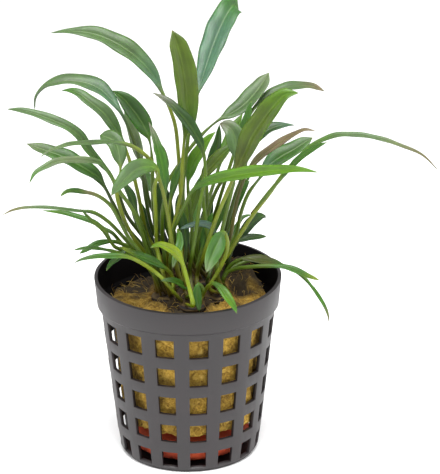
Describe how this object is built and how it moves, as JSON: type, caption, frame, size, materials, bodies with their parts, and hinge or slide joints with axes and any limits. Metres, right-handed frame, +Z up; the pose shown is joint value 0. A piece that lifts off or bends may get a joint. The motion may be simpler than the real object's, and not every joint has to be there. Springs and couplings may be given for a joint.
{
  "type": "potted cryptocoryne",
  "caption": "Small aquarium plant with narrow arching leaves, growing from a plug of mineral wool in a tapered black net pot with a clay weight ring.",
  "frame": {"origin": "centre of the pot's underside, on the surface it stands on", "axes": "+Z is up along the pot's axis, -Y is the front of the plant as pictured, +X is to its right"},
  "size_m": [0.1184, 0.096, 0.1292],
  "materials": {
    "black_plastic": "injection-moulded black plastic, satin, with a greyish bloom where light grazes it",
    "fired_clay": "unglazed terracotta, dull and slightly grainy",
    "mineral_wool": "matted yellow-brown mineral fibre with damp dark patches",
    "crown_skin": "brown stem skin with the scars of old leaves",
    "leaf_tissue": "living leaf, satin with a bluish gloss on the upper side and a lighter underside"
  },
  "bodies": {
    "root": {"pot": "black_plastic", "clay_ring": "fired_clay", "rockwool": "mineral_wool", "crown_front": "crown_skin", "crown_left": "crown_skin", "crown_right": "crown_skin", "crown_rear_left": "crown_skin", "crown_rear": "crown_skin", "leaf_01": "leaf_tissue", "leaf_02": "leaf_tissue", "leaf_03": "leaf_tissue", "leaf_04": "leaf_tissue", "leaf_05": "leaf_tissue", "leaf_06": "leaf_tissue", "leaf_07": "leaf_tissue", "leaf_08": "leaf_tissue", "leaf_09": "leaf_tissue", "leaf_10": "leaf_tissue", "leaf_11": "leaf_tissue", "leaf_12": "leaf_tissue", "leaf_13": "leaf_tissue", "leaf_14": "leaf_tissue", "leaf_15": "leaf_tissue", "leaf_16": "leaf_tissue", "leaf_17": "leaf_tissue", "leaf_18": "leaf_tissue", "leaf_19": "leaf_tissue", "leaf_20": "leaf_tissue", "leaf_21": "leaf_tissue", "leaf_22": "leaf_tissue", "leaf_23": "leaf_tissue", "leaf_24": "leaf_tissue", "leaf_25": "leaf_tissue", "leaf_26": "leaf_tissue", "leaf_27": "leaf_tissue", "leaf_28": "leaf_tissue", "leaf_29": "leaf_tissue", "leaf_30": "leaf_tissue", "leaf_31": "leaf_tissue", "leaf_32": "leaf_tissue", "leaf_33": "leaf_tissue", "leaf_34": "leaf_tissue", "leaf_35": "leaf_tissue", "leaf_36": "leaf_tissue", "leaf_37": "leaf_tissue", "leaf_38": "leaf_tissue", "leaf_39": "leaf_tissue", "leaf_40": "leaf_tissue", "leaf_41": "leaf_tissue", "leaf_42": "leaf_tissue", "leaf_43": "leaf_tissue", "leaf_44": "leaf_tissue", "leaf_45": "leaf_tissue", "leaf_46": "leaf_tissue", "leaf_47": "leaf_tissue", "leaf_48": "leaf_tissue", "leaf_49": "leaf_tissue", "leaf_50": "leaf_tissue", "leaf_51": "leaf_tissue", "leaf_52": "leaf_tissue"}
  },
  "joints": []
}
